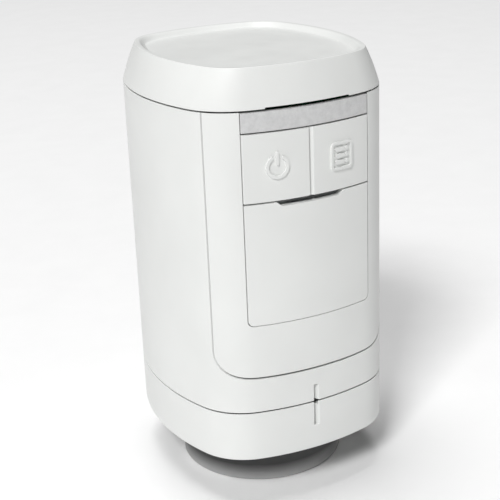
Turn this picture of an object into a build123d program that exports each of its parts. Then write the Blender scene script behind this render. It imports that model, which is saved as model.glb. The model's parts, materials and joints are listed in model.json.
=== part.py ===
"""Motorised radiator valve head, modelled as an assembly of separate pieces.

Millimetres, +Z up along the head's own axis. The origin is the centre of the union nut's mouth, which is
the lowest plane of the head. The front, with the buttons and the battery door, faces -Y.
"""

import math
import os

from build123d import *

# ---------------------------------------------------------------- driving dimensions
HALF_WIDTH = 27.0  # body outline, half size along X
HALF_DEPTH = 28.8  # body outline, half size along Y
SIDE_RADIUS = 56.0  # the gentle bulge of the four sides
CORNER_RADIUS = 14.0
WALL = 1.8  # moulded wall of the shells

RING_BOTTOM = 11.7  # levels along Z, from the nut's mouth upwards
RING_TOP = 23.75
HOUSING_BOTTOM = 24.15
BIB_BOTTOM = 32.8
DOOR_BOTTOM = 45.4
BUTTON_BOTTOM = 74.1
LENS_BOTTOM = 89.8
HOUSING_TOP = 94.5
CAP_BOTTOM = 94.85
CAP_SHOULDER = 95.0  # where the cap's sides start to lean inwards
CAP_ROUND = 50.0  # radius of the lean, seen from the side
CAP_LEAN = math.radians(16.5)  # the lean at the shoulder
CAP_STRETCH = 0.42  # the cap leans in by this share less at front and back than at the sides
CAP_SKIRT_TOP = 96.0
CAP_TOP = 103.6
DISH_DEPTH = 1.2
CAP_SLOT = 20.8  # width of the air slot over the light strip

BIB_EDGE_Y = -21.4  # where the bib's upright edges lie on the flanks
BIB_CORNER_RADIUS = 6.5
WINDOW_HALF = 15.95  # window in the bib for lens, buttons and door
WINDOW_CORNER = 1.4
SEAM = 0.35  # shadow gap between the fixed shells
SEAM_DROP = 0.15  # by which the gap is wider under the bib
GAP = 0.25  # gap beside each piece in the window
SHELF = 0.18  # half of the gap above and below each piece in the window
FRONT_THICK = 1.6  # skin of the pieces in the window

NUT_RADIUS = 20.0
THREAD_MINOR = 14.188  # minor radius of an M30 x 1.5 internal thread
SEAT_Z = 9.3  # face that the valve's rim meets
NUT_TOP = 14.4
SLEEVE_OUTER = 12.6
SLEEVE_INNER = 10.2
WEB_BOTTOM = 14.6  # web of the lock ring
WEB_TOP = 16.4
FLANGE_Z = 16.9  # upper flange of the valve sleeve
FLANGE_RADIUS = 18.0
LOCK_PITCH = 120.0

MODULE = 0.5
PRESSURE = math.radians(25.0)
BACKLASH = 0.05  # taken off each tooth's thickness at the pitch circle
AXLE_RADIUS = 0.75
OUT_TEETH, MID_TEETH, FIRST_TEETH, PINION_TEETH = 48, 42, 36, 12
FIRST_AXIS = (15.0, 1.0)  # first reduction gear
MOTOR_ANGLE = math.radians(-80.0)  # from the first axis to the motor's shaft
TRAY_BOTTOM, TRAY_TOP = 26.5, 28.5
BOSS_TOP = 32.4  # of the four screw bosses in the housing
LID_BOTTOM, LID_TOP = 51.0, 52.6
OUT_GEAR_Z, MID_GEAR_Z, FIRST_GEAR_Z = (40.0, 44.4), (45.2, 47.2), (48.0, 50.0)
SCREW_RADIUS = 3.0  # lead screw
FOOT_RADIUS = 4.0
FOOT_Z = 24.7  # tip of the plunger when it is drawn in

CELL_RADIUS, CELL_LENGTH = 7.0, 49.6
CELL_X, CELL_Z, CELL_FRONT = 7.1, 62.4, -24.75
CELL_BACK = CELL_FRONT + CELL_LENGTH
CRADLE_TOP = CELL_Z + CELL_RADIUS + 1.1
BOARD_SCREW_X, BOARD_SCREW_Z = 11.5, 75.2
BOARD_Y, BOARD_THICK = -21.9, 1.2  # front face of the control board and its thickness
BOARD_BACK = BOARD_Y + BOARD_THICK
BUTTON_TRAVEL = 0.5

CENTRE = (0.0, 0.0)
FRONT_CENTRE = (0.0, SIDE_RADIUS - HALF_DEPTH)
FLANK_CENTRE = (HALF_WIDTH - SIDE_RADIUS, 0.0)


# ---------------------------------------------------------------- shared shapes
def corner_centre(front_centre):
    """Centre of the front right corner's arc: as far from both side arcs' centres."""
    reach = SIDE_RADIUS - CORNER_RADIUS
    (fx, fy), (gx, gy) = front_centre, FLANK_CENTRE
    span = math.hypot(gx - fx, gy - fy)
    height = math.sqrt(reach**2 - (span / 2) ** 2)
    ux, uy = (gx - fx) / span, (gy - fy) / span
    return (fx + gx) / 2 - uy * height, (fy + gy) / 2 + ux * height


def along(centre, towards, distance):
    """The point at a distance from a centre, in the direction of another point."""
    length = math.hypot(towards[0] - centre[0], towards[1] - centre[1])
    share = distance / length
    return (
        centre[0] + (towards[0] - centre[0]) * share,
        centre[1] + (towards[1] - centre[1]) * share,
    )


def outline(inset=0.0, stretch=0.0):
    """The body's outline as a face: four bulged sides and four round corners, moved inwards by an inset.

    stretch moves the front and the back outwards again.
    """
    front_centre = (0.0, FRONT_CENTRE[1] - stretch)
    corner = corner_centre(front_centre)
    front_end = along(front_centre, corner, SIDE_RADIUS - inset)
    flank_end = along(FLANK_CENTRE, corner, SIDE_RADIUS - inset)
    corner_middle = along(CENTRE, corner, math.hypot(*corner) + CORNER_RADIUS - inset)
    front = inset - HALF_DEPTH - stretch
    edges = []
    for sx, sy in ((1, 1), (-1, 1), (-1, -1), (1, -1)):
        edges.append(
            ThreePointArc(
                (front_end[0] * sx, front_end[1] * sy),
                (corner_middle[0] * sx, corner_middle[1] * sy),
                (flank_end[0] * sx, flank_end[1] * sy),
            )
        )
    for s in (1, -1):
        edges.append(
            ThreePointArc(
                (-front_end[0], front_end[1] * s),
                (0, front * s),
                (front_end[0], front_end[1] * s),
            )
        )
        edges.append(
            ThreePointArc(
                (flank_end[0] * s, flank_end[1]),
                ((HALF_WIDTH - inset) * s, 0),
                (flank_end[0] * s, -flank_end[1]),
            )
        )
    return Face(Wire.combine([e.edge() for e in edges])[0])


def prism(inset, low, high):
    return extrude(Pos(0, 0, low) * outline(inset), high - low)


def tube_shell(outer_inset, inner_inset, low, high):
    return prism(outer_inset, low, high) - prism(inner_inset, low - 1, high + 1)


def block(x0, x1, y0, y1, z0, z1):
    return Pos((x0 + x1) / 2, (y0 + y1) / 2, (z0 + z1) / 2) * Box(x1 - x0, y1 - y0, z1 - z0)


def disc(radius, low, high, at=(0.0, 0.0)):
    return Pos(at[0], at[1], (low + high) / 2) * Cylinder(radius, high - low)


def ring(outer, inner, low, high, at=(0.0, 0.0)):
    return disc(outer, low, high, at) - disc(inner, low - 1, high + 1, at)


def rod_y(radius, front, back, x, z):
    """A round bar along Y."""
    return Pos(x, (front + back) / 2, z) * Rot(90, 0, 0) * Cylinder(radius, back - front)


def sector(outer, inner, low, high, middle, width):
    """A piece of a ring, centred on an angle, both angles in degrees."""
    half = math.radians(width / 2)
    mid = math.radians(middle)
    far = outer * 2
    wedge = Polygon(
        (0, 0),
        (far * math.cos(mid - half), far * math.sin(mid - half)),
        (far * math.cos(mid), far * math.sin(mid)),
        (far * math.cos(mid + half), far * math.sin(mid + half)),
        align=None,
    )
    return ring(outer, inner, low, high) & extrude(Pos(0, 0, low) * wedge, high - low)


def bib_region(grow=0.0, drop=0.0):
    """Everything forward of the bib's edge line, which runs down both flanks and round below the door."""
    top = HOUSING_TOP + 30
    floor, edge = BIB_BOTTOM - grow - drop, BIB_EDGE_Y + grow
    side = Plane.YZ * Polygon((-60, floor), (edge, floor), (edge, top), (-60, top), align=None)
    bar = extrude(Pos(-60, 0, 0) * side, 120)
    corner = [
        e
        for e in bar.edges().filter_by(Axis.X)
        if abs(e.center().Y - edge) < 0.01 and e.center().Z < floor + 1
    ]
    return fillet(corner, BIB_CORNER_RADIUS + grow)


def window_region(low, high, half_width=WINDOW_HALF):
    """An upright block through the front, with its two lower edges rounded."""
    bar = block(-half_width, half_width, -40, -15, low, high)
    lower = [e for e in bar.edges().filter_by(Axis.Y) if e.center().Z < low + 0.01]
    return fillet(lower, WINDOW_CORNER)


def mark_groove(low, high):
    """The alignment mark: an upright groove across the seam, square on the left and sloped on the right."""
    half, depth, foot = 0.7, 1.3, -0.1
    section = Polygon((-half, -1), (-half, depth), (foot, depth), (half, 0), (half, -1), align=None)
    return extrude(Pos(0, -HALF_DEPTH, low) * section, high - low)


MARK = mark_groove(17.7, 28.3)


# ---------------------------------------------------------------- gears
def involute_point(base, radius, turn):
    """A point on an involute of a base circle, turned about the centre."""
    spread = math.sqrt((radius / base) ** 2 - 1)
    angle = spread - math.atan(spread)
    return radius * math.cos(turn + angle), radius * math.sin(turn + angle)


def gear(teeth, low, high, at, phase, bore):
    """A spur gear with stub involute teeth. phase turns it, in degrees, and 0 puts a tooth on +X."""
    pitch = MODULE * teeth / 2
    base, tip, root = pitch * math.cos(PRESSURE), pitch + 0.8 * MODULE, pitch - 1.05 * MODULE
    start = max(base, root + 0.02)
    inv_pitch = math.tan(PRESSURE) - PRESSURE
    half_tooth = math.pi / (2 * teeth) - BACKLASH / (2 * pitch)
    steps = 4
    points = []
    for k in range(teeth):
        middle = math.radians(phase) + 2 * math.pi * k / teeth
        flank = []
        for i in range(steps + 1):
            r = start + (tip - start) * i / steps
            x, y = involute_point(base, r, -half_tooth - inv_pitch)
            flank.append((math.hypot(x, y), math.atan2(y, x)))
        foot = flank[0][1]
        right = [(root, foot)] + flank
        for r, a in right + [(r, -a) for r, a in reversed(right)]:
            points.append((r * math.cos(middle + a), r * math.sin(middle + a)))
    face = Face(Wire.make_polygon([Vector(x, y, 0) for x, y in points], close=True))
    solid = extrude(Pos(at[0], at[1], low) * face, high - low)
    return solid - disc(bore, low - 1, high + 1, at)


def mesh_phase(driver_teeth, driver_phase, driver_at, teeth, at):
    """The phase, in degrees, that puts a gear in mesh with one whose phase is known."""
    line = math.degrees(math.atan2(at[1] - driver_at[1], at[0] - driver_at[0]))
    driver_pitch = 360 / driver_teeth
    share = ((line - driver_phase) / driver_pitch) % 1.0
    return line + 180 + (share + 0.5) * 360 / teeth


def gear_axes():
    """Plan positions of the intermediate gear's and the motor's axes, from the first gear's."""
    reach_out = MODULE * (OUT_TEETH + PINION_TEETH) / 2
    reach_mid = MODULE * (MID_TEETH + PINION_TEETH) / 2
    reach_first = MODULE * (FIRST_TEETH + PINION_TEETH) / 2
    far = math.hypot(*FIRST_AXIS)
    bearing = math.atan2(FIRST_AXIS[1], FIRST_AXIS[0])
    swing = math.acos((reach_out**2 + far**2 - reach_mid**2) / (2 * reach_out * far))
    mid = (reach_out * math.cos(bearing + swing), reach_out * math.sin(bearing + swing))
    motor = (
        FIRST_AXIS[0] + reach_first * math.cos(MOTOR_ANGLE),
        FIRST_AXIS[1] + reach_first * math.sin(MOTOR_ANGLE),
    )
    return mid, motor


MID_AXIS, MOTOR_AXIS = gear_axes()
OUT_PHASE = 0.0
MID_PHASE = mesh_phase(OUT_TEETH, OUT_PHASE, CENTRE, PINION_TEETH, MID_AXIS)
FIRST_PHASE = mesh_phase(MID_TEETH, MID_PHASE, MID_AXIS, PINION_TEETH, FIRST_AXIS)
MOTOR_PHASE = mesh_phase(FIRST_TEETH, FIRST_PHASE, FIRST_AXIS, PINION_TEETH, MOTOR_AXIS)
POSTS = ((3.0, -17.5), (-15.5, 4.0), (-6.0, 21.0))
BOSSES = ((17.5, -20.1), (-17.5, -20.1), (17.5, 20.1), (-17.5, 20.1))


# ---------------------------------------------------------------- outer shells
def main_housing():
    wall = tube_shell(0, WALL, HOUSING_BOTTOM, HOUSING_TOP) - bib_region(SEAM, SEAM_DROP)
    lip_outer = tube_shell(WALL - 0.1, WALL + 1.4, HOUSING_BOTTOM + 4.5, HOUSING_TOP - 3.5)
    lip_outer = lip_outer & (bib_region(1.8) - bib_region(SEAM, SEAM_DROP))
    lip_inner = tube_shell(WALL + 0.2, WALL + 1.4, HOUSING_BOTTOM + 4.5, HOUSING_TOP - 3.5)
    lip_inner = lip_inner & (bib_region(SEAM) - bib_region(-1.5))
    shell = wall + lip_outer + lip_inner
    for x, y in BOSSES:
        shell += disc(3.1, TRAY_BOTTOM, BOSS_TOP, (x, y)) & prism(WALL - 0.5, TRAY_BOTTOM, BOSS_TOP)
        shell -= disc(1.05, TRAY_BOTTOM - 1, BOSS_TOP - 0.6, (x, y))
    return shell - MARK


def cap_inset(z):
    """How far the cap's side lies inside the body's outline at a level."""
    rise = z - CAP_SHOULDER + CAP_ROUND * math.sin(CAP_LEAN)
    return CAP_ROUND * math.cos(CAP_LEAN) - math.sqrt(CAP_ROUND**2 - rise**2)


def cap_outline(z, further=0.0):
    """The cap's outline at a level, or further inside it."""
    inset = cap_inset(z)
    return outline(inset + further, CAP_STRETCH * inset)


def top_cap():
    solid = prism(0, CAP_BOTTOM, CAP_SHOULDER)
    steps = 5
    for i in range(steps):
        low = CAP_SHOULDER + (CAP_TOP - CAP_SHOULDER) * i / steps
        high = CAP_SHOULDER + (CAP_TOP - CAP_SHOULDER) * (i + 1) / steps
        solid += loft([Pos(0, 0, z) * cap_outline(z) for z in (low, high)], ruled=True)
    rim, foot = cap_outline(CAP_TOP, 0.8), cap_outline(CAP_TOP, 2.6)
    solid -= loft([Pos(0, 0, CAP_TOP - DISH_DEPTH) * foot, Pos(0, 0, CAP_TOP) * rim], ruled=True)
    inner = prism(WALL, CAP_BOTTOM - 1, CAP_TOP - 2.6)
    inner = fillet(inner.faces().sort_by(Axis.Z)[-1].edges(), 5.5)
    solid -= inner
    rear = block(-40, 40, BIB_EDGE_Y + 3, 40, 80, 110)
    solid += tube_shell(WALL + 0.15, WALL + 1.35, HOUSING_TOP - 3.0, CAP_SKIRT_TOP) & rear
    solid += tube_shell(WALL - 0.3, WALL + 1.35, CAP_BOTTOM, CAP_SKIRT_TOP) & rear
    slot = block(-CAP_SLOT / 2, CAP_SLOT / 2, -40, -20, CAP_BOTTOM - 1, CAP_BOTTOM + 0.3)
    return solid - slot


def front_bib():
    shell = tube_shell(0, WALL, BIB_BOTTOM, HOUSING_TOP) & bib_region(0)
    window = window_region(DOOR_BOTTOM, HOUSING_TOP + 5)
    shell -= window
    rail = tube_shell(WALL - 0.1, WALL + 1.2, DOOR_BOTTOM - 2.2, HOUSING_TOP - 1.5)
    rail &= window_region(DOOR_BOTTOM - 1.6, HOUSING_TOP + 5, half_width=WINDOW_HALF + 1.2)
    rail -= window
    rail &= block(-40, 40, -40, -23.2, 0, 120)
    for x in (-6.0, 6.0):
        rail -= block(x - 2.6, x + 2.6, -40, -20, DOOR_BOTTOM - 5, DOOR_BOTTOM + 0.1)
    return shell + rail


def window_piece(low, high, left=-WINDOW_HALF, right=WINDOW_HALF, corner=0.0, thick=FRONT_THICK):
    """A skin that fills part of the bib's window, with a gap all round."""
    skin = tube_shell(0, thick, low, high)
    cut = block(left + GAP, right - GAP, -40, -15, low + SHELF, high - SHELF)
    if corner:
        lower = [e for e in cut.edges().filter_by(Axis.Y) if e.center().Z < low + GAP]
        cut = fillet(lower, corner - SHELF)
    return skin & cut


def light_guide():
    lens = window_piece(LENS_BOTTOM, HOUSING_TOP, thick=1.4)
    rear = tube_shell(1.3, 3.0, LENS_BOTTOM + 0.9, HOUSING_TOP - 0.7)
    rear &= block(-12.5, 12.5, -40, -20, LENS_BOTTOM, HOUSING_TOP)
    return lens + rear


# ---------------------------------------------------------------- buttons
ICON_RISE = 0.45
POWER_EDGE, MENU_EDGE = -0.4, -0.1  # the edges that face each other between the buttons
MENU_CHAMFER = 0.65
POWER_X, MENU_X, ICON_Z = -8.2, 7.9, 82.0


def power_icon():
    """An open ring with an upright bar in its gap, drawn in the XZ plane about the origin."""
    ring_outer, stroke = 2.65, 0.65
    shape = Circle(ring_outer) - Circle(ring_outer - stroke)
    shape -= Pos(0, ring_outer) * Rectangle(2.4, ring_outer * 1.4)
    bar = Pos(0, 1.9) * SlotOverall(3.0, stroke, rotation=90)
    return shape + bar


def menu_icon():
    """A rounded upright frame with three rows, each a bar and a dot."""
    width, height, stroke = 5.9, 6.4, 0.65
    inner = RectangleRounded(width - 2 * stroke, height - 2 * stroke, 0.4)
    shape = RectangleRounded(width, height, 1.0) - inner
    row_step = 1.4
    for row in range(3):
        y = 0.1 + (row - 1) * row_step
        shape += Pos(-0.4, y) * RectangleRounded(2.4, 0.75, 0.25)
        shape += Pos(1.4, y) * Circle(0.38)
    return shape


def button(left, right, icon, icon_x):
    body = window_piece(BUTTON_BOTTOM, LENS_BOTTOM, left - GAP, right + GAP)
    stamp = extrude(Plane.XZ * Pos(icon_x, ICON_Z) * icon, 30)
    band = tube_shell(-ICON_RISE, 0.4, ICON_Z - 6, ICON_Z + 6)
    body += stamp & band
    middle = (left + right) / 2
    rim = tube_shell(FRONT_THICK - 0.1, FRONT_THICK + 0.7, BUTTON_BOTTOM + 1.2, LENS_BOTTOM - 1.2)
    rim &= block(left + 1.4, right - 1.4, -40, -20, BUTTON_BOTTOM, LENS_BOTTOM)
    rim -= block(left + 2.4, right - 2.4, -40, -20, BUTTON_BOTTOM + 2.2, LENS_BOTTOM - 2.2)
    post = rod_y(1.5, -27.6, -25.9, middle, ICON_Z)
    return body + rim + post


def menu_button():
    """The right button, whose inner edge is chamfered to a bright line between the two."""
    side = MENU_CHAMFER * math.sqrt(2)
    chamfer = Box(side, side, 2 * (LENS_BOTTOM - BUTTON_BOTTOM))
    body = button(MENU_EDGE, WINDOW_HALF - GAP, menu_icon(), MENU_X)
    return body - Pos(MENU_EDGE, -HALF_DEPTH, ICON_Z) * Rot(0, 0, 45) * chamfer


def switch_body(x):
    """A tact switch on the control board, with a round hole for its stem."""
    body = block(x - 2.6, x + 2.6, -24.4, BOARD_Y, ICON_Z - 2.6, ICON_Z + 2.6)
    return body - rod_y(1.05, -30, -22.6, x, ICON_Z)


def switch_stem(x):
    return rod_y(1.0, -25.9, -23.3, x, ICON_Z)


# ---------------------------------------------------------------- battery bay
NOTCH = (8.4, 7.2, 1.15)  # fingernail notch in the door: half width at the edge and inside, and depth


def battery_door():
    skin = window_piece(DOOR_BOTTOM, BUTTON_BOTTOM, corner=WINDOW_CORNER)
    wide, narrow, depth = NOTCH
    notch = Plane.XZ * Polygon(
        (-wide, BUTTON_BOTTOM + 1),
        (-wide, BUTTON_BOTTOM - SHELF),
        (-narrow, BUTTON_BOTTOM - depth),
        (narrow, BUTTON_BOTTOM - depth),
        (wide, BUTTON_BOTTOM - SHELF),
        (wide, BUTTON_BOTTOM + 1),
        align=None,
    )
    skin -= extrude(notch, 40)
    for x in (-6.0, 6.0):
        skin += block(x - 2.0, x + 2.0, -27.4, -25.5, DOOR_BOTTOM + 0.3, DOOR_BOTTOM + 2.5)
        skin += block(x - 2.0, x + 2.0, -26.2, -25.5, DOOR_BOTTOM - 1.2, DOOR_BOTTOM + 2.5)
    for x in (-4.0, 4.0):
        skin += rod_y(1.0, -27.4, -26.0, x, CELL_Z)
    hook = block(-3.0, 3.0, -27.4, -24.4, BUTTON_BOTTOM - 3.2, BUTTON_BOTTOM - 2.0)
    return skin + hook


def door_contact():
    """The spring plate inside the door that joins the two cells."""
    plate = block(-10.5, 10.5, -26.0, -25.7, CELL_Z - 3.5, CELL_Z + 3.5)
    for x in (-CELL_X, CELL_X):
        plate += rod_y(1.8, -25.8, CELL_FRONT - 0.02, x, CELL_Z)
    return plate


def cell(x, nub_to_front):
    """An AA cell lying along Y."""
    nub, shoulder = 1.4, 0.6
    back = CELL_BACK
    if nub_to_front:
        body = rod_y(CELL_RADIUS, CELL_FRONT + nub, back, x, CELL_Z)
        tip = rod_y(2.7, CELL_FRONT, CELL_FRONT + nub + 1, x, CELL_Z)
        edges = [e for e in body.edges() if e.center().Y < CELL_FRONT + nub + 0.1]
    else:
        body = rod_y(CELL_RADIUS, CELL_FRONT, back - nub, x, CELL_Z)
        tip = rod_y(2.7, back - nub - 1, back, x, CELL_Z)
        edges = [e for e in body.edges() if e.center().Y > back - nub - 0.1]
    circles = [e for e in edges if e.geom_type == GeomType.CIRCLE]
    return fillet(circles, shoulder) + tip


def battery_cradle():
    """The open-fronted box that holds both cells, with the flange that is seen when the door is open."""
    bay = CELL_RADIUS + 0.2
    back = CELL_BACK + 0.8
    half = CELL_X + bay + 0.8
    body = block(-half, half, -23.9, back, 2 * CELL_Z - CRADLE_TOP, CRADLE_TOP)
    body = fillet(body.edges().filter_by(Axis.Y), 1.5)
    body += block(-15.1, 15.1, -25.0, -23.8, DOOR_BOTTOM + 0.8, BUTTON_BOTTOM - 0.4)
    body += block(-8.5, 8.5, -26.2, -24.8, BUTTON_BOTTOM - 1.4, BUTTON_BOTTOM - 0.4)
    for x in (-CELL_X, CELL_X):
        body -= rod_y(bay, -40, CELL_BACK + 0.25, x, CELL_Z)
        body -= block(x - 1.8, x + 1.8, CELL_BACK, back + 1, CELL_Z + 2.5, CRADLE_TOP + 1)
        for y in (-13.0, 13.0):
            body += disc(1.6, LID_TOP, 2 * CELL_Z - CRADLE_TOP + 0.5, (x * 1.6, y))
    body -= block(-3.4, 3.4, -26, -23, BUTTON_BOTTOM - 3.6, BUTTON_BOTTOM - 1.3)
    return body & prism(WALL + 0.15, 40, 80)


def rear_contacts():
    """Two contact plates behind the cells, each with a leg folded over the cradle up to the board."""
    thick = 0.2
    near = CELL_BACK + 0.02
    plates = []
    for x in (-CELL_X, CELL_X):
        plate = block(x - 3.5, x + 3.5, near, near + thick, CELL_Z - 3.5, CELL_Z + 3.5)
        riser = block(x - 1.5, x + 1.5, near, near + 2 * thick, CELL_Z + 3.0, CRADLE_TOP + thick)
        leg = block(x - 1.5, x + 1.5, BOARD_BACK, near + thick, CRADLE_TOP, CRADLE_TOP + thick)
        foot = block(x - 1.5, x + 1.5, BOARD_BACK, BOARD_BACK + thick, CRADLE_TOP, 76.0)
        plates.append(plate + riser + leg + foot)
    return plates


# ---------------------------------------------------------------- electronics
def control_board():
    board = block(-17.0, 17.0, BOARD_Y, BOARD_BACK, 72.6, 93.4)
    board = fillet(board.edges().filter_by(Axis.Y), 1.2)
    for x in (-BOARD_SCREW_X, BOARD_SCREW_X):
        board -= rod_y(1.1, -40, 0, x, BOARD_SCREW_Z)
    return board


def board_rails():
    """Two uprights with a foot, which carry the board on the cradle."""
    rails = []
    for x in (-BOARD_SCREW_X, BOARD_SCREW_X):
        upright = block(x - 1.7, x + 1.7, BOARD_BACK, -17.6, CRADLE_TOP, 82.0)
        foot = block(x - 1.7, x + 1.7, -20.5, -6.0, CRADLE_TOP, CRADLE_TOP + 1.4)
        pilot = rod_y(0.85, -40, -18.4, x, BOARD_SCREW_Z)
        rails.append(upright + foot - pilot)
    return rails


def board_screws():
    """Two cross-head screws. The recess is two crossed slots."""
    screws = []
    z = BOARD_SCREW_Z
    half_slot, reach = 0.25, 1.3
    slot_front, slot_back = BOARD_Y - 2, BOARD_Y - 0.8
    for x in (-BOARD_SCREW_X, BOARD_SCREW_X):
        head = rod_y(1.7, BOARD_Y - 1.3, BOARD_Y, x, z)
        head -= block(x - reach, x + reach, slot_front, slot_back, z - half_slot, z + half_slot)
        head -= block(x - half_slot, x + half_slot, slot_front, slot_back, z - reach, z + reach)
        screws.append(head + rod_y(0.8, BOARD_Y - 0.5, -18.6, x, z))
    return screws


def indicator_leds():
    return [
        block(x - 1.4, x + 1.4, BOARD_Y - 1.0, BOARD_Y, 91.4, 93.0) for x in (-9.0, 0.0, 9.0)
    ]


def radio_module():
    back = BOARD_BACK
    can = block(-6.0, 6.0, back, back + 2.2, 79.0, 91.0)
    return fillet(can.edges().filter_by(Axis.Y), 0.6)


def processor():
    back = BOARD_BACK
    body = block(8.4, 14.4, back, back + 1.1, 84.0, 90.0)
    for i in range(8):
        z = 84.65 + i * 0.67
        for x0, x1 in ((7.7, 8.5), (14.3, 15.1)):
            body += block(x0, x1, back, back + 0.3, z - 0.15, z + 0.15)
    return body


def antenna():
    """A helical antenna's outline: a slim coil former along X at the board's top."""
    back = BOARD_BACK
    former = Pos(-12.0, back + 1.8, 90.4) * Rot(0, 90, 0) * Cylinder(1.3, 7.0)
    legs = block(-15.2, -14.8, back, back + 1.8, 90.2, 90.6)
    return former + legs


def temperature_sensor():
    bead = Pos(14.0, -24.6, 93.2) * Sphere(0.9)
    for dx in (-0.45, 0.45):
        bead += rod_y(0.22, -24.6, BOARD_Y, 14.0 + dx, 93.0)
    return bead


# ---------------------------------------------------------------- drive unit
def gearbox_tray():
    tray = prism(WALL + 0.7, TRAY_BOTTOM, TRAY_TOP)
    tray += disc(8.5, TRAY_TOP - 0.5, 39.5)
    tray += disc(2.2, TRAY_TOP - 0.5, 44.6, FIRST_AXIS)
    tray += disc(2.2, TRAY_TOP - 0.5, 39.3, MID_AXIS)
    tray += ring(7.3, 6.15, TRAY_TOP - 0.5, 37.0, MOTOR_AXIS) & prism(WALL + 0.3, TRAY_BOTTOM, 38.0)
    motor_x, motor_y = MOTOR_AXIS
    tray -= block(motor_x - 9, motor_x - 4, motor_y - 2.6, motor_y + 2.6, TRAY_TOP, 32.5)
    for post in POSTS:
        tray += disc(2.3, TRAY_TOP - 0.5, LID_BOTTOM, post)
        tray -= disc(0.85, 42.0, LID_BOTTOM + 1, post)
    for x, y in BOSSES:
        tray -= disc(3.3, TRAY_BOTTOM - 1, BOSS_TOP + 0.5, (x, y))
        outer_x, outer_y = sorted((x, x * 2)), sorted((y, y * 2))
        tray -= block(*outer_x, *outer_y, TRAY_BOTTOM - 1, BOSS_TOP + 0.5)
    tray -= disc(7.0, 34.6, 41)
    tray -= disc(SCREW_RADIUS + 0.4, 28.5, 36)
    tray -= disc(SCREW_RADIUS + 0.05, TRAY_BOTTOM - 1, 28.6) & block(-2.45, 2.45, -9, 9, 20, 40)
    tray -= disc(AXLE_RADIUS, 30.0, 45, FIRST_AXIS)
    tray -= disc(AXLE_RADIUS, 30.0, 45, MID_AXIS)
    return tray


def gearbox_lid():
    lid = prism(WALL + 0.9, LID_BOTTOM, LID_TOP) & block(-20.5, 40, -19.0, 40, 40, 60)
    lid += disc(2.0, 47.6, LID_BOTTOM + 0.5, MID_AXIS)
    lid += disc(1.8, 50.3, LID_BOTTOM + 0.5, FIRST_AXIS)
    lid += disc(2.3, LID_BOTTOM, LID_TOP, POSTS[0]) & prism(WALL + 0.9, 40, 60)
    for axis in (MID_AXIS, FIRST_AXIS):
        lid -= disc(AXLE_RADIUS, 40, 52.0, axis)
    for post in POSTS:
        lid -= disc(1.1, 40, 60, post)
    lid -= disc(4.2, 40, 60)
    lid -= block(20.0, 40, -40, -12.0, 40, 60)
    return lid


def gearbox_screws():
    screws = []
    for x, y in POSTS:
        head = disc(2.0, LID_TOP, LID_TOP + 0.7, (x, y))
        head -= block(x - 1.4, x + 1.4, y - 0.25, y + 0.25, LID_TOP + 0.35, LID_TOP + 2)
        screws.append(head + disc(0.8, 43.0, LID_TOP + 0.2, (x, y)))
    return screws


def output_gear():
    wheel = gear(OUT_TEETH, *OUT_GEAR_Z, CENTRE, OUT_PHASE, SCREW_RADIUS + 0.05)
    hub = ring(5.5, SCREW_RADIUS + 0.05, 35.0, OUT_GEAR_Z[0] + 0.5)
    web = ring(10.2, 6.2, OUT_GEAR_Z[1] - 1.0, OUT_GEAR_Z[1] + 1)
    return wheel + hub - web


def compound_gear(teeth, gear_z, pinion_z, at, pinion_phase):
    """A large wheel and a pinion moulded as one, running on a steel axle."""
    bore = AXLE_RADIUS + 0.05
    wheel = gear(teeth, *gear_z, at, pinion_phase, bore)
    pinion = gear(PINION_TEETH, *pinion_z, at, pinion_phase, bore)
    return wheel + pinion


def axle_pins():
    return [disc(AXLE_RADIUS, 30.2, 51.9, axis) for axis in (FIRST_AXIS, MID_AXIS)]


def lead_screw():
    rod = disc(SCREW_RADIUS, 26.0, 47.0)
    flats = block(-2.4, 2.4, -9, 9, 20, 36)
    rod = (rod & flats) + disc(SCREW_RADIUS, 35.9, 47.0)
    return rod


def plunger_foot():
    foot = disc(FOOT_RADIUS, FOOT_Z, 26.3)
    rim = [e for e in foot.edges() if e.geom_type == GeomType.CIRCLE and e.center().Z < FOOT_Z + 0.1]
    foot = fillet(rim, 0.5)
    return foot - (disc(SCREW_RADIUS, 26.0, 30) & block(-2.4, 2.4, -9, 9, 20, 36))


def motor_can():
    x, y = MOTOR_AXIS
    can = disc(6.0, 31.2, 43.6, MOTOR_AXIS) & block(x - 7, x + 7, y - 5.0, y + 5.0, 31, 44)
    can += disc(2.0, 43.5, 44.3, MOTOR_AXIS)
    return can - disc(AXLE_RADIUS + 0.03, 33, 46, MOTOR_AXIS)


def motor_end_cap():
    x, y = MOTOR_AXIS
    cap = disc(5.9, 28.6, 31.2, MOTOR_AXIS) & block(x - 7, x + 7, y - 4.9, y + 4.9, 28, 32)
    return cap - block(x - 7, x - 4.4, y - 2.0, y + 2.0, 29.4, 30.6)


def motor_terminals():
    x, y = MOTOR_AXIS
    return [block(x - 7.6, x - 4.4, y + s - 0.5, y + s + 0.5, 29.8, 30.2) for s in (-1.4, 1.4)]


def motor_wires():
    """Two insulated leads from the motor's terminals up to the foot of the control board."""
    x, y = MOTOR_AXIS
    wires = []
    for side, lane in ((-1.4, 0.0), (1.4, 1.3)):
        path = FilletPolyline(
            (x - 8.1, y + side, 30.0),
            (x - 10.6, y + side, 30.0),
            (x - 10.0, -21.4 + lane, 33.5),
            (17.5, -19.8 + lane, 39.5),
            (20.8, -17.6 + lane, 44.0),
            (20.8, -17.6 + lane, 68.0),
            (15.0 + lane, -20.2, 72.8),
            (15.0 + lane, -20.2, 74.6),
            radius=1.2,
        )
        start = Plane(origin=path @ 0, z_dir=path % 0)
        wires.append(sweep(start * Circle(0.5), path))
    return wires


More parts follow.
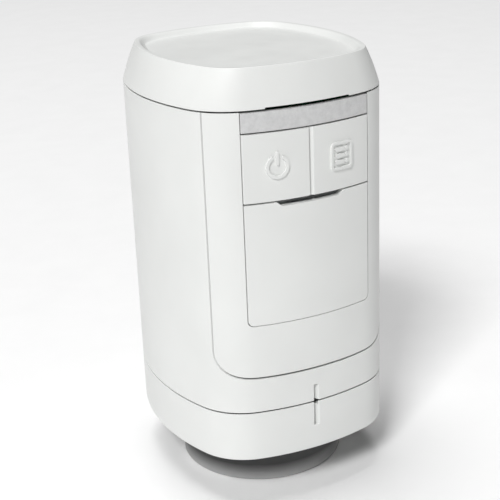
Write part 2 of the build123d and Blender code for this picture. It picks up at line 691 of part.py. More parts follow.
# ---------------------------------------------------------------- base, lock ring and nut
def base_plate():
    plate = prism(WALL + 0.2, HOUSING_BOTTOM + 0.2, 26.3)
    plate += ring(FLANGE_RADIUS, 15.6, 18.4, HOUSING_BOTTOM + 1)
    plate -= disc(SLEEVE_INNER, 10, 30)
    for x, y in BOSSES:
        plate -= disc(1.3, 20, 30, (x, y))
        plate -= disc(2.6, 20, 25.5, (x, y))
    return plate


def base_screws():
    screws = []
    for x, y in BOSSES:
        head = disc(2.3, HOUSING_BOTTOM + 0.4, 25.5, (x, y))
        head -= block(x - 1.5, x + 1.5, y - 0.3, y + 0.3, 20, HOUSING_BOTTOM + 0.9)
        head -= block(x - 0.3, x + 0.3, y - 1.5, y + 1.5, 20, HOUSING_BOTTOM + 0.9)
        screws.append(head + disc(1.0, 25.4, 31.5, (x, y)))
    return screws


def valve_sleeve():
    """The collar that carries the union nut below and the three locking lugs above."""
    sleeve = ring(SLEEVE_OUTER, SLEEVE_INNER, SEAT_Z, HOUSING_BOTTOM + 0.2)
    sleeve += ring(14.05, SLEEVE_INNER, SEAT_Z, 11.1)
    sleeve += ring(FLANGE_RADIUS, SLEEVE_INNER, FLANGE_Z, 18.3)
    for k in range(3):
        sleeve += sector(19.8, FLANGE_RADIUS - 0.5, FLANGE_Z, 18.3, LOCK_PITCH * k, 30)
    return sleeve


def spindle_gasket():
    return ring(SLEEVE_INNER - 0.05, FOOT_RADIUS + 0.25, 25.3, 26.4)


def lock_ring():
    body = prism(0, RING_BOTTOM, RING_TOP)
    body = fillet(body.faces().sort_by(Axis.Z)[0].edges(), 0.5)
    body = fillet(body.faces().sort_by(Axis.Z)[-1].edges(), 0.25)
    body -= prism(WALL, RING_BOTTOM - 1, WEB_BOTTOM)
    body -= prism(WALL, WEB_TOP, RING_TOP + 1)
    body -= disc(SLEEVE_OUTER + 0.1, 10, 30)
    for k in range(3):
        body += sector(20.6, 18.5, WEB_TOP - 0.2, 20.0, LOCK_PITCH * k + 45, 55)
    for k in range(8):
        rib = Rot(0, 0, 22.5 + 45 * k) * block(20.8, 40, -0.6, 0.6, RING_BOTTOM + 1.2, WEB_BOTTOM + 0.2)
        body += rib & prism(WALL - 0.4, RING_BOTTOM, WEB_TOP)
    return body - MARK


def union_nut():
    profile = Polyline(
        (THREAD_MINOR + 0.8, 0),
        (NUT_RADIUS, 0),
        (NUT_RADIUS, NUT_TOP),
        (13.0, NUT_TOP),
        (13.0, 11.4),
        (14.5, 11.4),
        (14.5, SEAT_Z - 0.1),
        (THREAD_MINOR, SEAT_Z - 0.1),
        (THREAD_MINOR, 0.8),
        (THREAD_MINOR + 0.8, 0),
    )
    solid = revolve(make_face(Plane.XZ * profile), Axis.Z)
    foot = [
        e
        for e in solid.edges()
        if e.geom_type == GeomType.CIRCLE and abs(e.radius - NUT_RADIUS) < 0.01 and e.center().Z < 1
    ]
    return fillet(foot, 0.6)


# ---------------------------------------------------------------- output
def save(name, shape):
    solids = list(shape) if isinstance(shape, list) else list(shape.solids())
    flat = [s for item in solids for s in item.solids()]
    export_step(flat[0] if len(flat) == 1 else Compound(children=flat), f"parts/{name}.step")


def main():
    os.makedirs("parts", exist_ok=True)
    button_middle = {
        "power": (GAP - WINDOW_HALF + POWER_EDGE) / 2,
        "menu": (MENU_EDGE + WINDOW_HALF - GAP) / 2,
    }
    pieces = {
        "main_housing": main_housing(),
        "top_cap": top_cap(),
        "front_bib": front_bib(),
        "light_guide": light_guide(),
        "power_button": button(GAP - WINDOW_HALF, POWER_EDGE, power_icon(), POWER_X),
        "menu_button": menu_button(),
        "battery_door": battery_door(),
        "door_contact": door_contact(),
        "cell_left": cell(-CELL_X, True),
        "cell_right": cell(CELL_X, False),
        "battery_cradle": battery_cradle(),
        "rear_contacts": rear_contacts(),
        "control_board": control_board(),
        "board_rails": board_rails(),
        "board_screws": board_screws(),
        "indicator_leds": indicator_leds(),
        "radio_module": radio_module(),
        "processor": processor(),
        "antenna": antenna(),
        "temperature_sensor": temperature_sensor(),
        "gearbox_tray": gearbox_tray(),
        "gearbox_lid": gearbox_lid(),
        "gearbox_screws": gearbox_screws(),
        "output_gear": output_gear(),
        "output_bush": ring(7.0, 5.55, 34.7, 39.4),
        "thrust_washer": ring(5.3, 3.4, 34.62, 34.95),
        "intermediate_gear": compound_gear(MID_TEETH, MID_GEAR_Z, (39.6, 45.3), MID_AXIS, MID_PHASE),
        "first_gear": compound_gear(FIRST_TEETH, FIRST_GEAR_Z, (44.9, 48.1), FIRST_AXIS, FIRST_PHASE),
        "axle_pins": axle_pins(),
        "motor_can": motor_can(),
        "motor_end_cap": motor_end_cap(),
        "motor_terminals": motor_terminals(),
        "motor_shaft": disc(AXLE_RADIUS, 33.2, 50.6, MOTOR_AXIS),
        "motor_pinion": gear(PINION_TEETH, 47.8, 50.3, MOTOR_AXIS, MOTOR_PHASE, AXLE_RADIUS),
        "motor_wires": motor_wires(),
        "lead_screw": lead_screw(),
        "plunger_foot": plunger_foot(),
        "base_plate": base_plate(),
        "base_screws": base_screws(),
        "valve_sleeve": valve_sleeve(),
        "spindle_gasket": spindle_gasket(),
        "lock_ring": lock_ring(),
        "union_nut": union_nut(),
    }
    for side, x in button_middle.items():
        pieces[f"{side}_switch"] = switch_body(x)
        pieces[f"{side}_switch_stem"] = switch_stem(x)
    for name, shape in pieces.items():
        save(name, shape)


main()
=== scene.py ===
"""The look of a motorised radiator valve head: fine shells, procedural materials, a studio and a camera."""
import json
import math

import bmesh
import bpy
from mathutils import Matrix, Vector


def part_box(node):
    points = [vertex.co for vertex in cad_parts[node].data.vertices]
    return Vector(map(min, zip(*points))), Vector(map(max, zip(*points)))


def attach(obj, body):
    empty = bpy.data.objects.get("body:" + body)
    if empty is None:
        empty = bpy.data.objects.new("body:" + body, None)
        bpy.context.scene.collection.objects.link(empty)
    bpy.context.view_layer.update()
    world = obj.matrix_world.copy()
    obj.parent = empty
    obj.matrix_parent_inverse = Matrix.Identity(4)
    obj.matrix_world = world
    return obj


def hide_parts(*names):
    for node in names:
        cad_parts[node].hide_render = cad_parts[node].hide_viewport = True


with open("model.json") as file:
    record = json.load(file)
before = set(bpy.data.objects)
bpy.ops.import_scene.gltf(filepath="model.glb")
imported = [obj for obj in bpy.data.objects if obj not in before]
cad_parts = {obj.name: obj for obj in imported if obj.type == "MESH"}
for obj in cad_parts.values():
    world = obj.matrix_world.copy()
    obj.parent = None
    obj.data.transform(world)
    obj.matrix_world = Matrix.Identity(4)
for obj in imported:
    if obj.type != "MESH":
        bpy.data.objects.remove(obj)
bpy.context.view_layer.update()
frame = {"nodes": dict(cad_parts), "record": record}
MM = 0.001

# ---------------------------------------------------------------- sizes, from the frame where it holds them
HOUSING_LOW, HOUSING_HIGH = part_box("main_housing")
RING_LOW, RING_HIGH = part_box("lock_ring")
CAP_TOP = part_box("top_cap")[1].z
BIB_LOW, BIB_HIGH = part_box("front_bib")
POWER_LOW, POWER_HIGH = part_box("power_button")
MENU_LOW, MENU_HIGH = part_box("menu_button")
LENS_LOW, LENS_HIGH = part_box("light_guide")
NUT_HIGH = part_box("union_nut")[1]

HALF_WIDTH, HALF_DEPTH = HOUSING_HIGH.x, HOUSING_HIGH.y
SIDE_RADIUS, CORNER_RADIUS = 56 * MM, 14 * MM
WALL, SKIN = 1.8 * MM, 1.6 * MM
SEAM, SEAM_DROP, GAP, SHELF = 0.35 * MM, 0.15 * MM, 0.25 * MM, 0.18 * MM
HOUSING_BOTTOM, HOUSING_TOP = HOUSING_LOW.z, HOUSING_HIGH.z
CAP_BOTTOM, CAP_SHOULDER = 94.85 * MM, 95.0 * MM
CAP_ROUND, CAP_LEAN, CAP_STRETCH = 50.0 * MM, math.radians(16.5), 0.42
CAP_THICKNESS, DISH_DEPTH, DISH_START, DISH_REACH = 2.6 * MM, 1.2 * MM, 0.8 * MM, 1.9 * MM
SLOT_HALF, SLOT_HEIGHT = 10.4 * MM, 0.3 * MM
WEB_LOW, WEB_HIGH, WEB_BORE = 14.6 * MM, 16.4 * MM, 12.7 * MM
BIB_BOTTOM, BIB_EDGE_Y, BIB_CORNER = BIB_LOW.z, BIB_HIGH.y, 6.5 * MM
WINDOW_HALF = 15.95 * MM
REBATE_INSET, REBATE_DEPTH = 0.32 * MM, 0.9 * MM
WINDOW_CORNER = 1.4 * MM
BUTTON_BOTTOM = POWER_LOW.z - SHELF
DOOR_BOTTOM = 45.4 * MM
ICON_Z, POWER_X, MENU_X = 82 * MM, -8.2 * MM, 7.9 * MM
ICON_ROOT, ICON_RISE = 0.2 * MM, 0.45 * MM
MARK_WIDTH, MARK_DEPTH, MARK_FOOT = 1.4 * MM, 1.3 * MM, -0.1 * MM
MARK_LOW, MARK_HIGH = 17.7 * MM, 28.3 * MM
SIDE_STEPS, CORNER_STEPS = 24, 28
MENU_CHAMFER = 0.65 * MM
BOSS_X, BOSS_Y = 17.5 * MM, 20.1 * MM
BOSS_RADIUS, BOSS_BORE, BOSS_LOW, BOSS_HIGH = 3.0 * MM, 1.05 * MM, 26.6 * MM, 32.4 * MM
LEDGE_DEPTH, LEDGE_LOW, LEDGE_HIGH = 1.4 * MM, 28.6 * MM, 91 * MM
OVERLAP = 0.1 * MM  # how far ribs reach into the skin that they stand on
CLEAR_SIDE, CLEAR_FRONT, CLEAR_TOP = 40 * MM, -60 * MM, 140 * MM  # cutters end here, outside the body


# ---------------------------------------------------------------- the body's outline
def corner_centre(front, flank):
    """Centre of the front right corner's arc, tangent inside both side arcs."""
    reach = SIDE_RADIUS - CORNER_RADIUS
    span = flank - front
    rise = math.sqrt(reach**2 - span.length_squared / 4)
    unit = span.normalized()
    return (front + flank) / 2 + Vector((-unit.y, unit.x)) * rise


def outline_rays(stretch=0.0):
    """The outline as rays: a point at an inset lies at centre + direction * (radius - inset)."""
    front = Vector((0, SIDE_RADIUS - HALF_DEPTH - stretch))
    flank = Vector((HALF_WIDTH - SIDE_RADIUS, 0))
    corner = corner_centre(front, flank)
    to_front = (corner - front).normalized()
    to_flank = (corner - flank).normalized()
    front_turn = math.atan2(to_front.x, -to_front.y)
    flank_turn = math.atan2(to_flank.x, -to_flank.y)
    quarter = []

    def arc(centre, radius, start, stop, count):
        for i in range(count):
            turn = start + (stop - start) * i / count
            quarter.append((centre, Vector((math.sin(turn), -math.cos(turn))), radius))

    arc(front, SIDE_RADIUS, 0.0, front_turn, SIDE_STEPS)
    arc(corner, CORNER_RADIUS, front_turn, flank_turn, CORNER_STEPS)
    arc(flank, SIDE_RADIUS, flank_turn, math.pi / 2, SIDE_STEPS)
    quarter.append((flank, Vector((1, 0)), SIDE_RADIUS))

    def turned(ray, sx, sy):
        centre, way, radius = ray
        return Vector((centre.x * sx, centre.y * sy)), Vector((way.x * sx, way.y * sy)), radius

    half = quarter + [turned(r, 1, -1) for r in reversed(quarter[:-1])]
    return half + [turned(r, -1, 1) for r in reversed(half[1:-1])]


RAYS = outline_rays()


def outline(inset, z, stretch=0.0):
    """One ring of points at a height. stretch moves the front and back arcs outwards."""
    rays = outline_rays(stretch) if stretch else RAYS
    return [Vector((*(c + w * (r - inset)), z)) for c, w, r in rays]


def front_y(x, inset=0.0):
    """The front face's Y at a given X, on the wide front arc."""
    return SIDE_RADIUS - HALF_DEPTH - math.sqrt((SIDE_RADIUS - inset) ** 2 - x * x)


# ---------------------------------------------------------------- mesh helpers
def new_object(name, verts, faces):
    """A linked mesh object with its normals turned outwards."""
    mesh = bpy.data.meshes.new(name)
    mesh.from_pydata([tuple(v) for v in verts], [], faces)
    mesh.validate()
    build = bmesh.new()
    build.from_mesh(mesh)
    bmesh.ops.recalc_face_normals(build, faces=build.faces)
    build.to_mesh(mesh)
    build.free()
    obj = bpy.data.objects.new(name, mesh)
    bpy.context.scene.collection.objects.link(obj)
    return obj


def loft(name, rings, closed_profile=True, caps=()):
    """Joins rings of equal length into a surface. caps names the rings that are filled flat."""
    count = len(rings[0])
    verts = [v for ring in rings for v in ring]
    pairs = list(zip(range(len(rings) - 1), range(1, len(rings))))
    if closed_profile:
        pairs.append((len(rings) - 1, 0))
    faces = []
    for a, b in pairs:
        for i in range(count):
            j = (i + 1) % count
            faces.append((a * count + i, a * count + j, b * count + j, b * count + i))
    for cap in caps:
        faces.append(tuple(cap * count + i for i in range(count)))
    return new_object(name, verts, faces)


def shell(name, profile):
    """A closed shell that follows the body's outline. profile lists (inset, z) round its section."""
    return loft(name, [outline(inset, z) for inset, z in profile])


def band_shell(name, outer, inner, low, high):
    """A plain upright band that follows the body's outline, between two insets."""
    return shell(name, [(outer, low), (outer, high), (inner, high), (inner, low)])


def extruded(name, points, low, high, place):
    """A prism over a plane polygon. place turns (u, v, w) into a point, with w from low to high."""
    count = len(points)
    verts = [place(u, v, w) for w in (low, high) for u, v in points]
    faces = [tuple(range(count)), tuple(range(count, 2 * count))]
    for i in range(count):
        j = (i + 1) % count
        faces.append((i, j, count + j, count + i))
    return new_object(name, verts, faces)


def along_y(u, v, w):
    return Vector((u, w, v))


def along_x(u, v, w):
    return Vector((w, u, v))


def upright(u, v, w):
    return Vector((u, v, w))


def plate(name, x0, x1, y0, y1, z0, z1):
    """A plain block, in millimetres."""
    corners = [(x0 * MM, z0 * MM), (x1 * MM, z0 * MM), (x1 * MM, z1 * MM), (x0 * MM, z1 * MM)]
    return extruded(name, corners, y0 * MM, y1 * MM, along_y)


def stud(name, radius, x, z, front, back):
    """A round bar along Y, in millimetres."""
    circle = arc_points(x * MM, z * MM, radius * MM, 0, 345, 23)
    return extruded(name, circle, front * MM, back * MM, along_y)


def tube(name, outer, inner, low, high, x, y):
    """An upright tube."""
    turns = 32
    rings = []
    for radius, z in ((outer, low), (outer, high), (inner, high), (inner, low)):
        angles = [2 * math.pi * i / turns for i in range(turns)]
        rings.append([Vector((x + radius * math.cos(t), y + radius * math.sin(t), z)) for t in angles])
    return soften(loft(name, rings), 0.15 * MM, 2)


def keeper(middle, width, inner, outer, low, high):
    """A curved rib on the ring's web, over which a lug turns."""
    points = arc_points(0, 0, outer, middle - width / 2, middle + width / 2, 16)
    points += arc_points(0, 0, inner, middle + width / 2, middle - width / 2, 16)
    return extruded("keeper", points, low, high, upright)


def spoke(turn, start, width, low, high):
    """A radial rib under the web, as far as the ring's wall."""
    way = Vector((math.cos(turn), math.sin(turn)))
    side = Vector((-way.y, way.x)) * width / 2
    nearby = [(c, r) for c, w, r in RAYS if (c + w * r).normalized().dot(way) > 0.999]
    wall = min(c.dot(way) + r for c, r in nearby)
    stop = wall - WALL * 1.2
    ends = [way * start - side, way * stop - side, way * stop + side, way * start + side]
    return extruded("spoke", [tuple(p) for p in ends], low, high, upright)


def arc_points(cu, cv, radius, start, stop, steps=10):
    """Points along an arc in a plane, with its ends in degrees."""
    turns = [math.radians(start + (stop - start) * i / steps) for i in range(steps + 1)]
    return [(cu + radius * math.cos(t), cv + radius * math.sin(t)) for t in turns]


def cut(obj, cutter, operation="DIFFERENCE"):
    """Cuts one closed mesh with another, exactly, and removes the cutter."""
    modifier = obj.modifiers.new("cut", "BOOLEAN")
    modifier.operation = operation
    modifier.solver = "EXACT"
    modifier.object = cutter
    depsgraph = bpy.context.evaluated_depsgraph_get()
    mesh = bpy.data.meshes.new_from_object(obj.evaluated_get(depsgraph))
    obj.modifiers.clear()
    obj.data = mesh
    bpy.data.objects.remove(cutter)


def soften(obj, width, segments=3, angle=32):
    """Rounds the sharp edges and shades the faces smooth."""
    for face in obj.data.polygons:
        face.use_smooth = True
    bevel = obj.modifiers.new("edge", "BEVEL")
    bevel.width = width
    bevel.segments = segments
    bevel.limit_method = "ANGLE"
    bevel.angle_limit = math.radians(angle)
    bevel.harden_normals = True
    normals = obj.modifiers.new("normals", "WEIGHTED_NORMAL")
    normals.keep_sharp = True
    return obj


def stands_for(obj, node, body, slot):
    """Gives a piece its slot's material, and puts it in a node's place on a body."""
    obj.data.materials.clear()
    obj.data.materials.append(MATERIALS[slot])
    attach(obj, body)
    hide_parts(node)


# ---------------------------------------------------------------- material helpers
class Recipe:
    """A small builder for node materials."""

    def __init__(self, name):
        self.material = bpy.data.materials.new(name)
        self.material.use_nodes = True
        self.tree = self.material.node_tree
        self.tree.nodes.clear()
        self.out = self.node("ShaderNodeOutputMaterial")
        self.shader = self.node("ShaderNodeBsdfPrincipled")
        self.link(self.shader.outputs[0], self.out.inputs["Surface"])
        self.coords = self.node("ShaderNodeTexCoord").outputs["Object"]

    def node(self, kind, **values):
        made = self.tree.nodes.new(kind)
        for key, value in values.items():
            setattr(made, key, value)
        return made

    def link(self, source, target):
        self.tree.links.new(source, target)

    def set(self, **values):
        for key, value in values.items():
            self.shader.inputs[key.replace("_", " ")].default_value = value

    def noise(self, scale, detail=4.0, roughness=0.55, stretch=None):
        made = self.node("ShaderNodeTexNoise")
        made.inputs["Scale"].default_value = scale
        made.inputs["Detail"].default_value = detail
        made.inputs["Roughness"].default_value = roughness
        source = self.coords
        if stretch:
            mapping = self.node("ShaderNodeMapping")
            mapping.inputs["Scale"].default_value = stretch
            self.link(source, mapping.inputs["Vector"])
            source = mapping.outputs[0]
        self.link(source, made.inputs["Vector"])
        return made.outputs["Fac"]

    def ramp(self, source, low, high, from_low=0.0, from_high=1.0):
        made = self.node("ShaderNodeMapRange")
        made.inputs["From Min"].default_value = from_low
        made.inputs["From Max"].default_value = from_high
        made.inputs["To Min"].default_value = low
        made.inputs["To Max"].default_value = high
        self.link(source, made.inputs["Value"])
        return made.outputs["Result"]

    def mix(self, factor, first, second):
        made = self.node("ShaderNodeMix", data_type="RGBA")
        self.link(factor, made.inputs["Factor"])
        for value, socket in ((first, made.inputs["A"]), (second, made.inputs["B"])):
            if isinstance(value, tuple):
                socket.default_value = value
            else:
                self.link(value, socket)
        return made.outputs["Result"]

    def edges(self, size):
        """A mask that is high on convex edges, where wear shows, from a bevelled normal against the true
        one.
        """
        bevel = self.node("ShaderNodeBevel", samples=6)
        bevel.inputs["Radius"].default_value = size
        geometry = self.node("ShaderNodeNewGeometry")
        dot = self.node("ShaderNodeVectorMath", operation="DOT_PRODUCT")
        self.link(bevel.outputs[0], dot.inputs[0])
        self.link(geometry.outputs["Normal"], dot.inputs[1])
        return self.ramp(dot.outputs["Value"], 1.0, 0.0, 0.86, 1.0)

    def bump(self, source, distance, strength=1.0, under=None):
        made = self.node("ShaderNodeBump")
        made.inputs["Distance"].default_value = distance
        made.inputs["Strength"].default_value = strength
        self.link(source, made.inputs["Height"])
        if under:
            self.link(under, made.inputs["Normal"])
        return made.outputs["Normal"]

    def colour(self, source):
        self.link(source, self.shader.inputs["Base Color"])

    def roughness(self, source):
        self.link(source, self.shader.inputs["Roughness"])

    def normal(self, source):
        self.link(source, self.shader.inputs["Normal"])


def moulded_plastic(name, colour, rough=0.42, shade=0.03, grain=2600, depth=0.000012, wear_and_painted_light=0.03):
    """Injection-moulded plastic: spark-eroded grain, faint flow clouds and slightly polished edges."""
    r = Recipe(name)
    cloud = r.noise(38, 3.0, 0.5)
    dark = tuple(c * (1 - shade) for c in colour) + (1.0,)
    light = tuple(min(1.0, c * (1 + shade)) for c in colour) + (1.0,)
    body = r.mix(r.ramp(cloud, 0.0, 1.0, 0.3, 0.7), dark, light)
    edge = r.edges(0.0005)
    worn_colour = tuple(min(1.0, c + wear_and_painted_light) for c in colour) + (1.0,)
    r.colour(r.mix(edge, body, worn_colour))
    handled = r.noise(160, 5.0, 0.62)
    r.roughness(r.ramp(handled, rough - 0.05, rough + 0.07, 0.3, 0.7))
    fine = r.bump(r.noise(grain, 2.0, 0.6), depth)
    r.normal(r.bump(cloud, 0.00004, 0.35, fine))
    r.set(IOR=1.49, Specular_IOR_Level=0.5)
    return r.material


def diffuser(name):
    """Frosted light strip: milky, a little see-through, with fine prisms across it."""
    r = Recipe(name)
    mottle = r.noise(700, 6.0, 0.75)
    dark, light = (0.58, 0.582, 0.582, 1), (0.68, 0.682, 0.682, 1)
    r.colour(r.mix(r.ramp(mottle, 0.0, 1.0, 0.35, 0.65), dark, light))
    r.roughness(r.ramp(mottle, 0.32, 0.44, 0.3, 0.7))
    wave = r.node("ShaderNodeTexWave", wave_type="BANDS", bands_direction="X")
    wave.inputs["Scale"].default_value = 300
    r.link(r.coords, wave.inputs["Vector"])
    r.normal(r.bump(wave.outputs["Fac"], 0.00002, 0.35, r.bump(mottle, 0.00002)))
    r.set(IOR=1.49, Subsurface_Weight=0.12, Subsurface_Radius=(0.002, 0.002, 0.002))
    return r.material


TARNISH = 0.12


def turned_metal(name, colour, rough=0.3, lines=(1, 1, 60), metallic=1.0, painted_light_below=None):
    """Metal with fine machining lines, patchy tarnish and bright scuffed edges.

    The last argument gives a level, a height and a colour: below the level the colour is ramped towards that
    lighter colour as painted light, and the darker colour above it stands as painted shade.
    """
    r = Recipe(name)
    patch = r.noise(120, 5.0, 0.6)
    dark = tuple(c * (1 - TARNISH) for c in colour) + (1.0,)
    body = r.mix(r.ramp(patch, 0.0, 1.0, 0.35, 0.65), dark, tuple(colour) + (1.0,))
    # Painted light and shade: the colour is ramped lighter towards the foot below the level, and stays
    # darker above it where shadow falls.
    if painted_light_below:
        level, height, wear_and_painted_light = painted_light_below
        split = r.node("ShaderNodeSeparateXYZ")
        r.link(r.coords, split.inputs[0])
        painted_light_mask = r.ramp(split.outputs["Z"], 1.0, 0.0, level - height, level)
        body = r.mix(painted_light_mask, body, tuple(wear_and_painted_light) + (1.0,))
    bright = tuple(min(1.0, c * 1.2) for c in colour) + (1.0,)
    r.colour(r.mix(r.edges(0.0003), body, bright))
    turning = r.noise(260, 2.0, 0.5, lines)
    r.roughness(r.ramp(turning, rough - 0.08, rough + 0.12, 0.3, 0.7))
    r.normal(r.bump(turning, 0.00001, 0.5, r.bump(r.noise(1500, 2.0), 0.000006)))
    r.set(Metallic=metallic, IOR=1.8)
    return r.material


def circuit_board(name):
    """Solder resist over copper: tracks as faint raised lines, and scattered tinned pads."""
    r = Recipe(name)
    cells = r.node("ShaderNodeTexVoronoi", feature="F1", distance="CHEBYCHEV")
    cells.inputs["Scale"].default_value = 420
    r.link(r.coords, cells.inputs["Vector"])
    track = r.node("ShaderNodeTexBrick")
    track.inputs["Scale"].default_value = 160
    track.inputs["Mortar Size"].default_value = 0.05
    r.link(r.coords, track.inputs["Vector"])
    pad = r.ramp(cells.outputs["Distance"], 1.0, 0.0, 0.1, 0.14)
    resist = r.mix(track.outputs["Fac"], (0.004, 0.07, 0.028, 1), (0.008, 0.13, 0.05, 1))
    r.colour(r.mix(pad, resist, (0.62, 0.6, 0.52, 1)))
    r.roughness(r.ramp(r.noise(700), 0.22, 0.4, 0.3, 0.7))
    r.normal(r.bump(track.outputs["Fac"], 0.00003, 0.6))
    r.set(IOR=1.5)
    return r.material


def cell_jacket(name, low, high):
    """A film round a cell, dark with a copper-coloured band, and the bare steel of its ends."""
    r = Recipe(name)
    split = r.node("ShaderNodeSeparateXYZ")
    r.link(r.coords, split.inputs[0])
    band = r.ramp(split.outputs["Y"], 0.0, 1.0, low, high)
    scuff = r.noise(500, 5.0, 0.6)
    sleeve = r.mix(r.ramp(scuff, 0.0, 1.0, 0.3, 0.7), (0.02, 0.03, 0.045, 1), (0.035, 0.05, 0.07, 1))
    film = r.mix(band, sleeve, (0.52, 0.27, 0.1, 1))
    geometry = r.node("ShaderNodeNewGeometry")
    axes = r.node("ShaderNodeSeparateXYZ")
    r.link(geometry.outputs["Normal"], axes.inputs[0])
    flatness = r.node("ShaderNodeMath", operation="ABSOLUTE")
    r.link(axes.outputs["Y"], flatness.inputs[0])
    end = r.ramp(flatness.outputs[0], 0.0, 1.0, 0.75, 0.85)
    r.colour(r.mix(end, film, (0.6, 0.6, 0.58, 1)))
    r.roughness(r.ramp(scuff, 0.22, 0.36, 0.3, 0.7))
    r.normal(r.bump(r.noise(900, 3.0), 0.00001))
    r.link(r.ramp(end, 0.35, 1.0), r.shader.inputs["Metallic"])
    r.set(IOR=1.5)
    return r.material


def dark_plastic(name, shade, rough, cloud=0.15, grain=2200, depth=0.00001, wear_and_painted_light=0.02):
    """Black or nearly black moulded plastic."""
    return moulded_plastic(name, shade, rough, cloud, grain, depth, wear_and_painted_light)


WHITE = (0.80, 0.81, 0.795)
BUTTON_WHITE = (0.79, 0.80, 0.785)
# The nut's colours: a dark metal that is darkened further as painted shade where the ring's shadow falls on
# its upper part, and a lighter colour over the lowest few millimetres that is painted light from the pale
# surroundings.
NUT_DARK_SHADED_TOP, NUT_PAINTED_LIGHT = (0.02, 0.02, 0.02), (0.45, 0.45, 0.45)
NUT_PAINTED_LIGHT_LEVEL, NUT_PAINTED_LIGHT_HEIGHT = 4.2 * MM, 4.0 * MM
MATERIALS = {
    "white_shell": moulded_plastic("white shell plastic", WHITE),
    "white_cap": moulded_plastic("white cap plastic", WHITE),
    "white_buttons": moulded_plastic("white button plastic", BUTTON_WHITE, rough=0.46),
    "white_door": moulded_plastic("white door plastic", WHITE, rough=0.44),
    "light_diffuser": diffuser("frosted diffuser"),
    "nut_metal": turned_metal(
        "nickel-plated nut, painted shade and light",
        NUT_DARK_SHADED_TOP,
        rough=0.5,
        metallic=0.2,
        # Painted light on the nut's lower part, with painted shade above it.
        painted_light_below=(NUT_PAINTED_LIGHT_LEVEL, NUT_PAINTED_LIGHT_HEIGHT, NUT_PAINTED_LIGHT),
    ),
    "sleeve_plastic": dark_plastic("glass-filled plastic", (0.045, 0.046, 0.048), 0.5, 0.12, 1500, 0.00003),
    "inner_plastic": moulded_plastic("inner frame plastic", (0.42, 0.43, 0.44), 0.52, 0.05, 1800),
    "gear_plastic": moulded_plastic("natural acetal", (0.72, 0.69, 0.6), 0.38, 0.04, 3000),
    "switch_plastic": dark_plastic("black switch plastic", (0.012, 0.012, 0.013), 0.4),
    "stem_plastic": dark_plastic("black stem plastic", (0.016, 0.016, 0.017), 0.36),
    "motor_plastic": dark_plastic("motor end plastic", (0.02, 0.02, 0.02), 0.48),
    "steel": turned_metal("zinc-plated steel", (0.58, 0.59, 0.6), 0.3),
    "lead_screw_steel": turned_metal("turned steel", (0.5, 0.5, 0.52), 0.26),
    "contact_metal": turned_metal("nickel-plated strip", (0.72, 0.71, 0.67), 0.24, (40, 1, 1)),
    "cell_jacket": cell_jacket("cell sleeve", 12 * MM, 12.2 * MM),
    "circuit_board": circuit_board("circuit board"),
    "led_white": moulded_plastic("light-emitting diode", (0.75, 0.73, 0.55), 0.3, 0.05),
    "sensor_bead": moulded_plastic("sensor resin", (0.012, 0.012, 0.014), 0.2, 0.2),
    "bronze": turned_metal("sintered bronze", (0.5, 0.33, 0.15), 0.4),
    "plunger_plastic": moulded_plastic("plunger plastic", (0.02, 0.02, 0.022), 0.45, 0.15),
    "gasket_rubber": dark_plastic("gasket rubber", (0.012, 0.012, 0.012), 0.7, 0.2, 900, 0.00004, 0.01),
    "wire_insulation": moulded_plastic("wire insulation", (0.3, 0.02, 0.015), 0.45, 0.1),
}


EDGE_ROUNDING = {
    "battery_cradle": 0.3, "control_board": 0.12, "board_rails": 0.2, "radio_module": 0.15,
    "processor": 0.08, "power_switch": 0.12, "menu_switch": 0.12, "gearbox_tray": 0.25, "gearbox_lid": 0.2,
    "base_plate": 0.3, "valve_sleeve": 0.25, "base_screws": 0.12, "gearbox_screws": 0.1, "board_screws": 0.1,
    "motor_can": 0.4, "motor_end_cap": 0.3, "axle_pins": 0.12, "plunger_foot": 0.1, "output_bush": 0.15,
}


def dress_nodes():
    """Every CAD node gets its slot's material, and most get rounded edges. Sizes are in millimetres."""
    for part in frame["record"]["subparts"]:
        obj = frame["nodes"][part["node"]]
        material = MATERIALS[part["material_slot"]]
        if not obj.material_slots:
            obj.data.materials.append(material)
        for place in obj.material_slots:
            place.material = material
        rounding = EDGE_ROUNDING.get(part["node"])
        if rounding:
            bevel = obj.modifiers.new("edge", "BEVEL")
            bevel.width = rounding * MM
            bevel.segments = 2
            bevel.limit_method = "ANGLE"
            bevel.angle_limit = math.radians(40)
            bevel.use_clamp_overlap = True


# ---------------------------------------------------------------- the visible pieces
def bib_cutter(grow, drop=0.0):
    """The space forward of the bib's edge line, grown by a margin, and by some more at its floor."""
    edge, floor, radius = BIB_EDGE_Y + grow, BIB_BOTTOM - grow - drop, BIB_CORNER + grow
    points = [(CLEAR_FRONT, floor)]
    points += arc_points(edge - radius, floor + radius, radius, -90, 0)
    points += [(edge, CLEAR_TOP), (CLEAR_FRONT, CLEAR_TOP)]
    return extruded("bib_cutter", points, -CLEAR_SIDE, CLEAR_SIDE, along_x)


def front_cutter(points):
    """A bar through the front wall alone."""
    return extruded("front_cutter", points, CLEAR_FRONT, -15 * MM, along_y)


def window_cutter():
    """The window's opening, with round lower corners and no upper edge."""
    half, low, corner = WINDOW_HALF, DOOR_BOTTOM, WINDOW_CORNER
    points = arc_points(-half + corner, low + corner, corner, 180, 270, 6)
    points += arc_points(half - corner, low + corner, corner, 270, 360, 6)
    return front_cutter(points + [(half, CLEAR_TOP), (-half, CLEAR_TOP)])


def mark_cutter():
    """A bar that leaves an upright groove, square on its left and sloped on its right."""
    half, front, bottom = MARK_WIDTH / 2, -HALF_DEPTH - 1 * MM, MARK_DEPTH - HALF_DEPTH
    points = [(-half, front), (half, front), (half, -HALF_DEPTH), (MARK_FOOT, bottom), (-half, bottom)]
    return extruded("mark_cutter", points, MARK_LOW, MARK_HIGH, upright)


def walled(name, low, high):
    """A wall that follows the outline. Its top is stepped down behind the edge, so the seam reads dark."""
    step = high - REBATE_DEPTH
    section = [(0, low), (0, high), (REBATE_INSET, high), (REBATE_INSET, step), (WALL, step), (WALL, low)]
    return shell(name, section)


